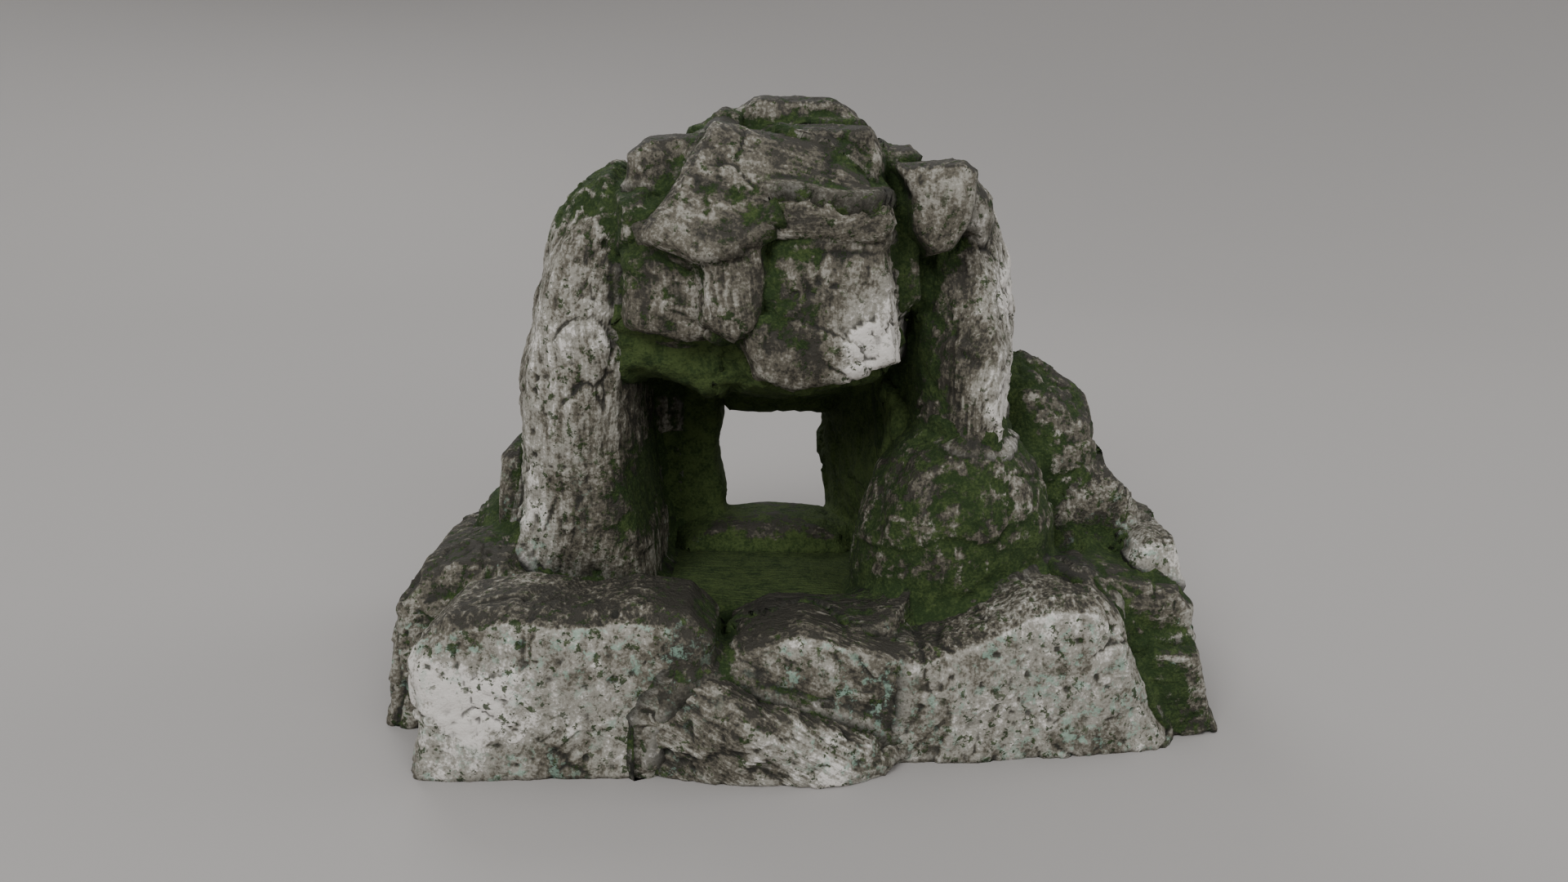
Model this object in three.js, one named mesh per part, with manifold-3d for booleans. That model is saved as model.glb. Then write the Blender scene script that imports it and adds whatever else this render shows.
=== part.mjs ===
// A rock cave ornament for an aquarium or pond: hollow stone-resin castings bonded together round a
// swim-through passage. Millimetres, +X right, +Y away from the cave mouth, +Z up; the origin is on the
// floor under the middle of the ornament.
import * as THREE from "three";
import { mergeVertices } from "three/addons/utils/BufferGeometryUtils.js";
import Module from "manifold-3d";

// Driving dimensions.
const JOINT_GAP = 0.35; // adhesive line between two castings
const WALL = 6; // wall of a hollow casting
const PLINTH_TOP = 33; // seat of the pillars and the cave floor
const PLINTH_WALL = 7;
const SPIGOT = { radius: 7, height: 9, vent: 2.5, clearance: 1, sides: 20 }; // they locate hollow castings
const OVERLAP = 1; // how far a joined or cutting solid runs past the face that it meets
const GROUND = { width: 600, depth: 60 }; // the block that trims castings flat at their rims
const WELD = 1e-4; // corners closer than this are one corner

// How far a rock's sections run from its front (0) to its back (1), as [share of outline, depth] pairs.
const PROFILES = {
  boulder: [[0, 0], [0.45, 0.03], [0.8, 0.15], [1, 0.42], [0.97, 0.72], [0.66, 0.97], [0, 1]],
  block: [[0, 0], [0.55, 0.005], [0.9, 0.04], [1, 0.16], [1, 0.8], [0.9, 0.97], [0, 1]],
  column: [[0, 0], [0.42, 0.02], [0.76, 0.08], [0.96, 0.24], [1, 0.42], [1, 0.8], [0.88, 0.98], [0, 1]],
  ridge: [[0, 0], [0.3, 0.05], [0.65, 0.2], [1, 0.5], [1, 0.88], [0.85, 1], [0, 1]],
  wedge: [[0, 0], [0.5, 0.02], [0.88, 0.07], [1, 0.25], [0.96, 0.75], [0.75, 1], [0, 1]],
};

// Castings in the order in which they are bonded: each is moulded to fit those before it. An outline is the
// rock seen from the front, [x, z], and y is its [front, back]. lean tips the face back with height, turn
// swings it round with x, skew slides the sections [x, z] with depth, and focus moves the face's crown.
const ROCKS = [
  // Base course, standing on the floor.
  { name: "front_centre_boulder", slot: "weathered_rock", y: [-84, -44], profile: "boulder", stands: true,
    outline: [[-62, -22], [-61, 26], [-50, 42], [-35, 40], [-17, 28], [7, 21], [24, 14], [30, 4],
      [20, -22]],
    focus: [2, 2] },
  { name: "front_left_slab", slot: "pale_rock", y: [-79, -37], profile: "block", stands: true, hollow: true,
    outline: [[-137, -18], [-132, 0], [-127, 14], [-129, 40], [-125, 47], [-115, 56], [-95, 59],
      [-74, 55], [-56, 58], [-39, 56], [-30, 46], [-29, -18]], turn: 0.04 },
  { name: "front_middle_block", slot: "weathered_rock", y: [-71, -36], profile: "wedge",
    outline: [[-29, 16], [-29, 32], [-21, 43], [1, 49], [25, 41], [36, 39], [38, 18], [31, 4], [-20, 6]] },
  { name: "front_right_slab", slot: "pale_rock", y: [-66, -24], profile: "block", stands: true, hollow: true,
    outline: [[27, -18], [32, 20], [32, 37], [58, 45], [76, 54], [87, 56], [100, 55], [108, 48],
      [116, 27], [122, 13], [131, 1], [136, -18]], turn: 0.1 },
  { name: "left_outer_rock", slot: "weathered_rock", y: [-42, 34], profile: "block", stands: true,
    hollow: true, lean: 0.25,
    outline: [[-153, -18], [-151, 8], [-151, 22], [-148, 42], [-138, 55], [-124, 61], [-106, 61], [-95, 50],
      [-90, -18]] },
  { name: "right_outer_lower_rock", slot: "mossy_rock", y: [-52, 4], profile: "block", stands: true,
    outline: [[108, -18], [114, 26], [124, 33], [139, 33], [143, 22], [147, 8], [151, 0], [156, -18]] },
  { name: "left_rear_rock", slot: "weathered_rock", y: [26, 83], profile: "boulder", stands: true,
    hollow: true,
    outline: [[-146, -26], [-142, 20], [-130, 48], [-112, 60], [-92, 56], [-80, 30], [-76, -26]] },
  { name: "right_rear_rock", slot: "mossy_rock", y: [22, 83], profile: "boulder", stands: true, hollow: true,
    outline: [[72, -26], [78, 40], [92, 62], [110, 68], [130, 60], [143, 38], [147, 8], [148, -26]] },
  { name: "rear_centre_slab", slot: "weathered_rock", y: [56, 84], profile: "block", stands: true,
    outline: [[-86, -14], [-82, 26], [-58, 34], [-20, 38], [22, 36], [60, 32], [80, 28], [86, -14]] },
  { name: "right_outer_middle_rock", slot: "mossy_rock", y: [-44, 16], profile: "block",
    outline: [[94, 26], [97, 52], [108, 58], [122, 55], [134, 51], [141, 43], [141, 30], [118, 26]] },
  { name: "right_pale_block", slot: "pale_rock", y: [-32, 4], profile: "block",
    outline: [[120, 42], [121, 58], [123, 64], [126, 67], [135, 66], [137, 58], [139, 47], [134, 40]] },

  // Uprights, seated on the plinth.
  { name: "left_pillar", slot: "pale_rock", y: [-27, 46], profile: "column", hollow: true, seated: true,
    outline: [[-109, 10], [-109, 53], [-105, 69], [-104, 84], [-104, 104], [-102, 127], [-96, 148],
      [-91, 168], [-87, 180], [-78, 191], [-67, 197], [-60, 191], [-58, 178], [-60, 150], [-61, 120],
      [-60, 80], [-56, 55], [-54, 10]] },
  { name: "mouth_boulder", slot: "mossy_rock", y: [-44, 12], profile: "boulder", hollow: true, seated: true,
    outline: [[20, 8], [20, 50], [24, 72], [30, 90], [39, 101], [52, 107], [64, 108], [77, 102],
      [87, 90], [92, 70], [93, 45], [92, 8]] },
  { name: "right_pillar", slot: "pale_rock", y: [-32, 50], profile: "ridge", hollow: true, seated: true,
    outline: [[40, 10], [36, 60], [34, 100], [33, 140], [33, 172], [42, 190], [58, 197], [69, 184],
      [77, 162], [80, 140], [79, 118], [78, 90], [80, 60], [82, 10]], focus: [66, 120] },
  { name: "right_inner_wall", slot: "cave_moss", y: [-8, 66], profile: "block", skew: [-0.4, 0],
    outline: [[27, 28], [26, 50], [22, 74], [23, 95], [26, 120], [46, 126], [58, 100], [60, 60], [60, 28]] },
  { name: "rear_left_jamb", slot: "cave_moss", y: [42, 68], profile: "block",
    outline: [[-66, 28], [-64, 112], [-50, 116], [-35, 110], [-33, 92], [-36, 74], [-32, 60], [-35, 46],
      [-38, 28]] },
  { name: "right_shoulder_boulder", slot: "mossy_rock", y: [-8, 52], profile: "boulder", hollow: true,
    seated: true,
    outline: [[72, 8], [74, 80], [77, 114], [82, 123], [89, 125], [99, 119], [112, 109],
      [116, 95], [115, 84], [119, 66], [121, 50], [116, 8]] },
  { name: "right_step_rock", slot: "weathered_rock", y: [-14, 42], profile: "block",
    outline: [[86, 30], [90, 62], [104, 80], [112, 86], [118, 83], [125, 75], [135, 61], [140, 50],
      [136, 36], [110, 30]] },
  { name: "left_pillar_slab", slot: "weathered_rock", y: [-8, 32], profile: "block",
    outline: [[-116, 30], [-115, 72], [-113, 90], [-110, 93], [-106, 93], [-101, 60], [-99, 30]] },
  { name: "left_step_rock", slot: "mossy_rock", y: [-2, 40], profile: "boulder",
    outline: [[-130, 46], [-127, 58], [-124, 68], [-117, 72], [-109, 71], [-103, 50]] },

  // Cave floor and threshold.
  { name: "cave_floor_slab", slot: "cave_moss", y: [-30, 36], profile: "block",
    outline: [[-62, 26], [-60, 38], [-40, 40], [0, 39.5], [22, 38], [30, 36], [30, 26]] },
  { name: "cave_sill", slot: "cave_moss", y: [28, 66], profile: "wedge",
    outline: [[-54, 24], [-50, 44], [-38, 50], [-12, 52], [10, 50], [20, 46], [26, 24]] },
  { name: "threshold_rock", slot: "dark_rock", y: [-60, -25], profile: "boulder",
    outline: [[-27, 20], [-25, 40], [-12, 47], [8, 46], [24, 47], [37, 51], [42, 20]] },
  { name: "left_ledge_rock", slot: "dark_rock", y: [-62, -18], profile: "block",
    outline: [[-100, 20], [-97, 44], [-80, 46], [-60, 43], [-42, 39], [-30, 34], [-24, 20]] },
  { name: "right_ledge_rock", slot: "dark_rock", y: [-54, -12], profile: "boulder",
    outline: [[32, 20], [34, 48], [56, 50], [74, 49], [88, 57], [102, 60], [110, 48], [112, 20]] },

  // Lintel and cave ceiling.
  { name: "lintel_rib", slot: "weathered_rock", y: [-47, -12], profile: "block",
    outline: [[-33, 146], [-32, 174], [-23, 177], [-14, 177], [-12, 160], [-15, 146], [-23, 140]] },
  { name: "lintel_right_block", slot: "pale_rock", y: [-45, 18], profile: "block",
    outline: [[-16, 127], [-20, 138], [-12, 150], [-10, 173], [5, 175], [27, 174], [29, 160], [32, 147],
      [33, 132], [22, 129], [10, 126], [-3, 123]] },
  { name: "lintel_left_block", slot: "weathered_rock", y: [-39, 22], profile: "block",
    outline: [[-61, 144], [-61, 169], [-46, 174], [-30, 175], [-14, 178], [-4, 160], [-5, 140],
      [-22, 142], [-39, 139]] },
  { name: "ceiling_right_rock", slot: "cave_moss", y: [-28, 48], profile: "block", skew: [0, -0.26],
    outline: [[-34, 114], [-32, 130], [-20, 142], [32, 142], [36, 130], [26, 117], [8, 112], [-10, 111]] },
  { name: "ceiling_left_rock", slot: "cave_moss", y: [-26, 48], profile: "block", skew: [0, -0.2],
    outline: [[-64, 121], [-64, 142], [-30, 140], [-20, 130], [-24, 116], [-34, 112], [-50, 119]] },
  { name: "rear_lintel", slot: "cave_moss", y: [46, 70], profile: "block",
    outline: [[-66, 114], [-62, 132], [-40, 140], [0, 142], [42, 136], [46, 120], [15, 110],
      [12, 96], [-10, 95], [-30, 96], [-34, 112]] },

  // Crown.
  { name: "brow_ledge", slot: "weathered_rock", y: [-46, -14], profile: "block",
    outline: [[-17, 175], [-15, 188], [0, 189], [10, 186], [28, 185], [30, 179], [27, 173], [5, 174]] },
  { name: "brow_slab", slot: "weathered_rock", y: [-43, -12], profile: "block", lean: 0.45,
    outline: [[-53, 175], [-41, 191], [-29, 210], [-10, 207], [5, 204], [22, 191], [26, 185], [5, 181],
      [-16, 174], [-35, 167]] },
  { name: "right_pillar_cap", slot: "pale_rock", y: [-37, 10], profile: "block",
    outline: [[31, 197], [53, 198], [57, 195], [56, 180], [50, 170], [43, 168], [37, 176], [36, 188]] },
  { name: "right_pillar_top", slot: "pale_rock", y: [-22, 30], profile: "boulder",
    outline: [[50, 176], [53, 195], [58, 195], [65, 188], [68, 178], [64, 168]] },
  { name: "crown_left_wedge", slot: "mossy_rock", y: [-33, 8], profile: "boulder",
    outline: [[-64, 168], [-63, 187], [-53, 191], [-45, 184], [-48, 170]] },
  { name: "crown_left_block", slot: "weathered_rock", y: [-22, 24], profile: "block",
    outline: [[-60, 184], [-59, 200], [-52, 206], [-32, 207], [-27, 195], [-36, 182]] },
  { name: "crown_right_wedge", slot: "weathered_rock", y: [-32, 18], profile: "block",
    outline: [[-14, 196], [-13, 207], [4, 209], [22, 209], [27, 200], [26, 184], [8, 188]] },
  { name: "crown_right_outer_rock", slot: "weathered_rock", y: [-18, 26], profile: "block",
    outline: [[20, 178], [22, 204], [30, 203], [37, 203], [41, 196], [40, 182], [32, 174]] },
  { name: "right_infill_rock", slot: "mossy_rock", y: [-27, 10], profile: "block",
    outline: [[27, 150], [28, 181], [34, 185], [39, 172], [41, 152], [35, 147]] },
  { name: "crown_top_left_rock", slot: "mossy_rock", y: [-6, 32], profile: "block",
    outline: [[-41, 196], [-38, 208], [-33, 212], [-27, 216], [-22, 214], [-20, 196]] },
  { name: "crown_top_block", slot: "weathered_rock", y: [2, 50], profile: "block",
    outline: [[-25, 190], [-24, 206], [-21, 217], [-16, 220], [12, 219], [19, 215], [24, 206], [26, 190]] },

  // Back of the arch.
  { name: "rear_left_arch", slot: "weathered_rock", y: [34, 80], profile: "boulder", hollow: true,
    seated: true,
    outline: [[-104, 8], [-104, 80], [-96, 136], [-82, 164], [-62, 170], [-50, 150], [-50, 110],
      [-52, 60], [-50, 8]] },
  { name: "rear_right_arch", slot: "mossy_rock", y: [36, 80], profile: "boulder", hollow: true,
    seated: true,
    outline: [[26, 8], [24, 60], [30, 110], [40, 150], [56, 166], [72, 152], [82, 110],
      [88, 60], [86, 8]] },
  { name: "crown_rear_rock", slot: "mossy_rock", y: [14, 72], profile: "boulder",
    outline: [[-64, 126], [-66, 165], [-44, 192], [0, 202], [32, 194], [54, 166], [52, 130], [16, 116],
      [-30, 114]] },
];

// The plinth seen from above, [x, y].
const PLINTH_PLAN = [[-112, -34], [-60, -42], [0, -44], [60, -38], [104, -26], [116, 10], [110, 50],
  [84, 64], [30, 70], [-40, 70], [-90, 62], [-112, 36], [-114, 0]];
const SPIGOTS = [[-82, 6], [56, -16]]; // inside the left pillar and the mouth boulder

const MATERIALS = {
  pale_rock: { color: 0xb9b2a6, roughness: 0.9, metalness: 0 },
  weathered_rock: { color: 0x75695f, roughness: 0.92, metalness: 0 },
  mossy_rock: { color: 0x4d5a3c, roughness: 0.95, metalness: 0 },
  dark_rock: { color: 0x3d3731, roughness: 0.95, metalness: 0 },
  cave_moss: { color: 0x2c4418, roughness: 1, metalness: 0 },
};

const wasm = await Module();
wasm.setup();

// A closed three.js geometry as a manifold-3d solid.
function solidOf(geometry) {
  const bare = new THREE.BufferGeometry().setAttribute("position", geometry.getAttribute("position"));
  if (geometry.index) bare.setIndex(geometry.index);
  const merged = mergeVertices(bare, WELD);
  return new wasm.Manifold(new wasm.Mesh({
    numProp: 3,
    vertProperties: merged.attributes.position.array,
    triVerts: new Uint32Array(merged.index.array),
  }));
}

// A solid as a three.js geometry with flat faces.
function geometryOf(solid) {
  const { vertProperties, triVerts } = solid.getMesh();
  const geometry = new THREE.BufferGeometry()
    .setAttribute("position", new THREE.BufferAttribute(vertProperties, 3))
    .setIndex(new THREE.BufferAttribute(triVerts, 1))
    .toNonIndexed();
  geometry.computeVertexNormals();
  return geometry;
}

// The largest separate body of a solid: what trimming leaves is one casting.
function largestBody(solid) {
  return solid.decompose().reduce((best, body) => (body.volume() > best.volume() ? body : best));
}

function uprightCylinder(radius, bottom, top, [x, y]) {
  return solidOf(new THREE.CylinderGeometry(radius, radius, top - bottom, SPIGOT.sides)
    .rotateX(Math.PI / 2).translate(x, y, (top + bottom) / 2));
}

function spanOf(points, axis) {
  const values = points.map((point) => point[axis]);
  return [Math.min(...values), Math.max(...values)];
}

// A rock's outer surface: a lathed profile whose turns follow the outline instead of a circle. grow moves
// the whole surface outwards by that much, or inwards if it is negative.
function rockSurface(rock, grow) {
  const [front, back] = [rock.y[0] - grow, rock.y[1] + grow];
  const profile = PROFILES[rock.profile].map(([share, depth]) => new THREE.Vector2(share, depth));
  const turns = rock.outline.length;
  const surface = new THREE.LatheGeometry(profile, turns);
  const position = surface.getAttribute("position");
  const [left, right] = spanOf(rock.outline, 0);
  const [low, high] = spanOf(rock.outline, 1);
  const centre = [(left + right) / 2, (low + high) / 2];
  const focus = rock.focus ?? centre;
  const stretch = [1 + (2 * grow) / (right - left), 1 + (2 * grow) / (high - low)];
  const midDepth = (rock.y[0] + rock.y[1]) / 2;
  const rings = profile.length;
  for (let i = 0; i < position.count; i++) {
    const corner = rock.outline[Math.floor(i / rings) % turns];
    const { x: share, y: depth } = profile[i % rings];
    const y = front + (back - front) * depth;
    const crown = (1 - share) * (1 - depth);
    const [x, z] = [0, 1].map((axis) =>
      centre[axis] + share * (corner[axis] - centre[axis]) * stretch[axis]
      + crown * (focus[axis] - centre[axis]) + (rock.skew?.[axis] ?? 0) * (y - midDepth));
    const tip = (rock.lean ?? 0) * (z - centre[1]) + (rock.turn ?? 0) * (x - centre[0]);
    position.setXYZ(i, x, y + tip, z);
  }
  return surface;
}

function rockSolid(rock, grow = 0) {
  return solidOf(rockSurface(rock, grow));
}

// Everything below a height, as a block to cut away.
function groundBelow(height) {
  return solidOf(new THREE.BoxGeometry(GROUND.width, GROUND.width, GROUND.depth)
    .translate(0, 0, height - GROUND.depth / 2));
}

// The plan of the plinth as a prism, grown outwards by that much.
function plinthPrism(bottom, top, grow = 0) {
  const [left, right] = spanOf(PLINTH_PLAN, 0);
  const [front, back] = spanOf(PLINTH_PLAN, 1);
  const [midX, midY] = [(left + right) / 2, (front + back) / 2];
  const outline = PLINTH_PLAN.map(([x, y]) => new THREE.Vector2(
    midX + (x - midX) * (1 + (2 * grow) / (right - left)),
    midY + (y - midY) * (1 + (2 * grow) / (back - front))));
  return solidOf(new THREE.ExtrudeGeometry(new THREE.Shape(outline),
    { depth: top - bottom, bevelEnabled: false }).translate(0, 0, bottom));
}

// The plinth that carries the uprights: a tray, open below, with vented spigots on its seat.
function plinthSolid() {
  const tray = plinthPrism(0, PLINTH_TOP)
    .subtract(plinthPrism(-OVERLAP, PLINTH_TOP - PLINTH_WALL, -PLINTH_WALL));
  return SPIGOTS.reduce((solid, centre) => solid
    .add(uprightCylinder(SPIGOT.radius, PLINTH_TOP - OVERLAP, PLINTH_TOP + SPIGOT.height, centre))
    .subtract(uprightCylinder(SPIGOT.vent, 0, PLINTH_TOP + SPIGOT.height + OVERLAP, centre)), tray);
}

// What no casting may enter: the plinth and its spigots, each with its clearance.
function plinthSpace() {
  const spigots = SPIGOTS.map((centre) => uprightCylinder(SPIGOT.radius + SPIGOT.clearance,
    PLINTH_TOP - OVERLAP, PLINTH_TOP + SPIGOT.height + SPIGOT.clearance, centre));
  return [plinthPrism(-GROUND.depth, PLINTH_TOP + JOINT_GAP, JOINT_GAP), ...spigots];
}

function boxesMeet(a, b) {
  return [0, 1, 2].every((axis) => a.min[axis] < b.max[axis] && b.min[axis] < a.max[axis]);
}

// One casting: its outer surface, cleared of what is already there, flat where it stands, and hollowed
// from below where it is a hollow one.
function castRock(rock, occupied) {
  const outer = rockSolid(rock);
  const bounds = outer.boundingBox();
  let solid = occupied.filter((other) => boxesMeet(other.boundingBox(), bounds))
    .reduce((rest, other) => rest.subtract(other), outer);
  if (rock.stands) solid = solid.subtract(groundBelow(0));
  if (rock.seated) solid = solid.subtract(groundBelow(PLINTH_TOP + JOINT_GAP));
  if (rock.hollow) solid = solid.subtract(rockSolid(rock, -WALL));
  return largestBody(solid);
}

function meshOf(name, slot, solid) {
  const mesh = new THREE.Mesh(geometryOf(solid), new THREE.MeshStandardMaterial(MATERIALS[slot]));
  mesh.name = name;
  return mesh;
}

const ornament = new THREE.Group();
ornament.add(meshOf("base_plinth", "weathered_rock", plinthSolid()));
const occupied = plinthSpace();
for (const rock of ROCKS) {
  ornament.add(meshOf(rock.name, rock.slot, castRock(rock, occupied)));
  occupied.push(rockSolid(rock, JOINT_GAP));
}

export default ornament;
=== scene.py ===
"""Rock cave ornament: carved rock surfaces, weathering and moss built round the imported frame."""

import functools
import math
from collections import namedtuple

import bpy
import numpy as np
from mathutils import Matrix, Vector


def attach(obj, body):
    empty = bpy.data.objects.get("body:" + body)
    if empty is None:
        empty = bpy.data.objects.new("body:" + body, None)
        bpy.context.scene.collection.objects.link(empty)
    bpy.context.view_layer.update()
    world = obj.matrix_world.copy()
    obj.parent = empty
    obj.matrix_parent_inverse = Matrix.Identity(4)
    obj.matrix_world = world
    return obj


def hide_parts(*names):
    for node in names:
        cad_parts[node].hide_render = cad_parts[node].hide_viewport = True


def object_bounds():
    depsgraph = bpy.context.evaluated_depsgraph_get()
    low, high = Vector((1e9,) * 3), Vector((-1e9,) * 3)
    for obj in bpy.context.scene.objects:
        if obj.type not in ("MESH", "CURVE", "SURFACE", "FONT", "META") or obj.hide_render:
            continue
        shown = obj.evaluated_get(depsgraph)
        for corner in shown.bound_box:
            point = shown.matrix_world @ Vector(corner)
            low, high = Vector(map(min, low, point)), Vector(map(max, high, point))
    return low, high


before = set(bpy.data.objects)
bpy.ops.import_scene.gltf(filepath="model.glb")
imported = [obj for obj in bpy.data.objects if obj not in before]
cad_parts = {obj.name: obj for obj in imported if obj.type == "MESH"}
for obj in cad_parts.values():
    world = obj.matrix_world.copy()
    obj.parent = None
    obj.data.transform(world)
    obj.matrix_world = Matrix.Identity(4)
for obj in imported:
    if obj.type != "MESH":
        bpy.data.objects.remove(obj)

CAD_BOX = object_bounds()

bl_info = {
    "name": "Rock cave ornament",
    "version": (1, 0, 0),
    "blender": (4, 5, 0),
    "location": "View3D > Sidebar > Ornament",
    "description": "Builds a moss-grown rock arch with a swim-through cave, and a studio to see it in",
    "category": "Add Mesh",
}

MM = 0.001
ROWS, COLUMNS = 112, 160  # directions in which a rock's broad form is measured
LATTICE = 32  # cells after which a noise pattern repeats
CELL = 3.0  # edge of a shelter cell, mm
MARGIN = 24.0  # empty room round the ornament in the shelter cells, mm
FAR_BLUR, SEAM_BLUR = 24, 2  # blurs of the filled cells for a place's depth and for a seam
GAP_BLUR = 60  # blurs that carry known values into a gap
NOTCH = 3  # half width of the notches that are closed on a broad form, in measured directions
POINT = 1e-6  # a grid row no wider than this is one point, mm
AXES = {0: (0, 1, 2), 2: (2, 0, 1)}  # by pole axis: the axes of a direction along, beside and above it

# The search for a kernel: every so many directions are tried, a share of faulty rays is let pass, and
# otherwise so many places along each side of the box, between two shares of it, are compared.
TRIED, FAULTY, PLACES, INNERMOST, OUTERMOST = 37, 0.03, 5, 0.2, 0.8
LIFT = 0.5  # height of a hollow casting's kernel above its rim, mm
WIDEST = 60  # the rows above this percentile of girth set how far apart the columns are
FEWEST_ROWS, FEWEST_COLUMNS = 12, 16

# Wavelengths of the relief's patterns, mm.
SWELLS, FACETS, CHIPS, RIBS, CRESTS, CRACKS, OPENINGS, PITS, GRIT, WANDER = (
    30, 27, 12, 4.6, 9, 34, 24, 6.5, 3.2, 31)
BEND = 5  # how far straight patterns are bent, mm

SLIGHT = 22  # a rock less thick than this to its middle has less relief, mm
DEPTH_CLEAR, SEAM_CLEAR = 9, 0.5  # how far off the surface depth and seams are read, mm
HOLLOW = 0.5  # a hollow this deep counts in full, mm
EVENING = 5  # blurs of the surface that its hollows are measured from
INNER = 4  # one row in so many is kept inside a hollow casting

# How one rock is finished. hollow: an open casting; grain: the direction its bedding runs; ribs, chips,
# pits: how strong those reliefs are; soft: passes that round its edges; pale and mossy: spots bleached by
# light or grown over, each (x, z) as shares of its box, radius in mm and strength; bleach and green: their
# levels all over; coarse: how much larger its facets are than on the rest; spread: how much wider it is
# carved than its casting, to close a joint beside it.
Rock = namedtuple("Rock", "hollow grain ribs chips pits soft pale mossy bleach green coarse spread",
                  defaults=(False, (0, 0, 1), 0.5, 1.0, 0.6, 0, (), (), 0.0, 0.0, 1.0, 1.0))
ACROSS, UPRIGHT, INWARD, FALLING = (1, 0, 0.08), (0.06, 0, 1), (0.1, 1, 0), (0.87, -0.1, -0.45)

PLINTH = {"base_plinth": Rock(hollow=True, grain=ACROSS, ribs=0.8, chips=0.7, bleach=0.1, green=0.05,
                              coarse=1.7)}
BASE_COURSE = {
    "front_centre_boulder": Rock(grain=FALLING, ribs=0.9, chips=1.1, bleach=0.3, spread=1.07,
                                 pale=((0.72, 0.12, 26, 0.8), (0.2, 0.5, 14, 0.35))),
    "front_left_slab": Rock(hollow=True, ribs=0.15, chips=0.5, pits=1.0, bleach=0.5,
                            pale=((0.13, 0.5, 16, 1.4), (0.3, 0.45, 18, 1.3), (0.2, 0.2, 20, 0.3),
                                  (0.97, 0.8, 19, -1.5))),
    "front_middle_block": Rock(grain=FALLING, ribs=0.4, bleach=0.15,
                               pale=((0.45, 0.85, 12, 0.5), (0.8, 0.7, 14, 0.4))),
    "front_right_slab": Rock(hollow=True, ribs=0.15, chips=0.5, pits=1.0, bleach=0.5,
                             pale=((0.3, 0.45, 30, 0.3), (0.6, 0.6, 24, 0.35))),
}
OUTER_ROCKS = {
    "left_outer_rock": Rock(hollow=True, grain=ACROSS, bleach=0.2, green=0.1, pits=0.9),
    "right_outer_lower_rock": Rock(grain=ACROSS, ribs=1.1, green=0.12, bleach=-0.35),
    "right_outer_middle_rock": Rock(grain=ACROSS, ribs=0.7, green=0.2, bleach=0.15),
    "right_pale_block": Rock(ribs=0.3, bleach=0.55, pale=((0.6, 0.6, 14, 0.5),)),
    "right_step_rock": Rock(grain=INWARD, ribs=0.7, green=0.05),
    "left_step_rock": Rock(green=0.35),
    "left_pillar_slab": Rock(grain=UPRIGHT, ribs=0.9, green=0.1),
    "left_ledge_rock": Rock(grain=ACROSS, ribs=1.1, green=0.1),
    "right_ledge_rock": Rock(grain=ACROSS, ribs=1.1, green=0.1),
    "right_shoulder_boulder": Rock(hollow=True, grain=UPRIGHT, green=0.16, bleach=0.12, soft=2),
}
UPRIGHTS = {
    "left_pillar": Rock(hollow=True, grain=UPRIGHT, ribs=0.7, chips=0.7, pits=1.0, bleach=0.42, soft=2,
                        pale=((0.42, 0.6, 22, 0.5), (0.3, 0.35, 20, 0.3), (1.0, 0.3, 22, -1.5)),
                        mossy=((0.65, 0.97, 22, 0.7), (0.2, 0.92, 18, 0.5), (1.1, 0.25, 26, 0.5),
                               (1.1, 0.6, 18, 0.5))),
    "right_pillar": Rock(hollow=True, grain=UPRIGHT, ribs=0.9, bleach=-0.7,
                         pale=((0.97, 0.75, 20, 2.4), (0.93, 0.5, 20, 2.6), (0.95, 0.95, 18, 1.4)),
                         mossy=((0.0, 0.5, 26, 0.3), (0.0, 0.9, 26, 0.3))),
    "mouth_boulder": Rock(hollow=True, grain=UPRIGHT, ribs=0.6, chips=0.8, green=0.25, soft=3),
}
CAVE_ROCKS = {
    "cave_floor_slab": Rock(grain=ACROSS, green=1.0, chips=0.5),
    "cave_sill": Rock(grain=ACROSS, green=0.1, chips=0.6, bleach=-0.5),
    "right_inner_wall": Rock(grain=UPRIGHT, ribs=0.7, green=1.0),
    "rear_left_jamb": Rock(grain=UPRIGHT, ribs=0.6, green=1.0),
    "ceiling_left_rock": Rock(grain=ACROSS, green=1.0),
    "ceiling_right_rock": Rock(grain=ACROSS, green=1.0),
    "rear_lintel": Rock(grain=ACROSS, green=0.9),
    "threshold_rock": Rock(grain=ACROSS, ribs=1.2, green=0.15),
}
LINTEL_ROCKS = {
    "lintel_left_block": Rock(ribs=0.6, green=0.1, bleach=-0.1, pale=((0.4, 0.35, 14, 0.4),),
                              mossy=((0.0, 0.7, 12, 0.5), (0.6, 0.9, 9, 0.4))),
    "lintel_rib": Rock(grain=UPRIGHT, ribs=1.0, green=0.08, bleach=0.1),
    "lintel_right_block": Rock(ribs=0.4, green=0.05, bleach=-0.25,
                               pale=((0.84, 0.22, 12, 2.6), (0.85, 0.6, 13, 1.3), (0.3, 0.4, 18, -0.4)),
                               mossy=((0.15, 0.6, 9, 0.4), (0.3, 0.95, 8, 0.4))),
    "right_infill_rock": Rock(grain=UPRIGHT, ribs=0.8, green=0.3),
}
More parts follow.
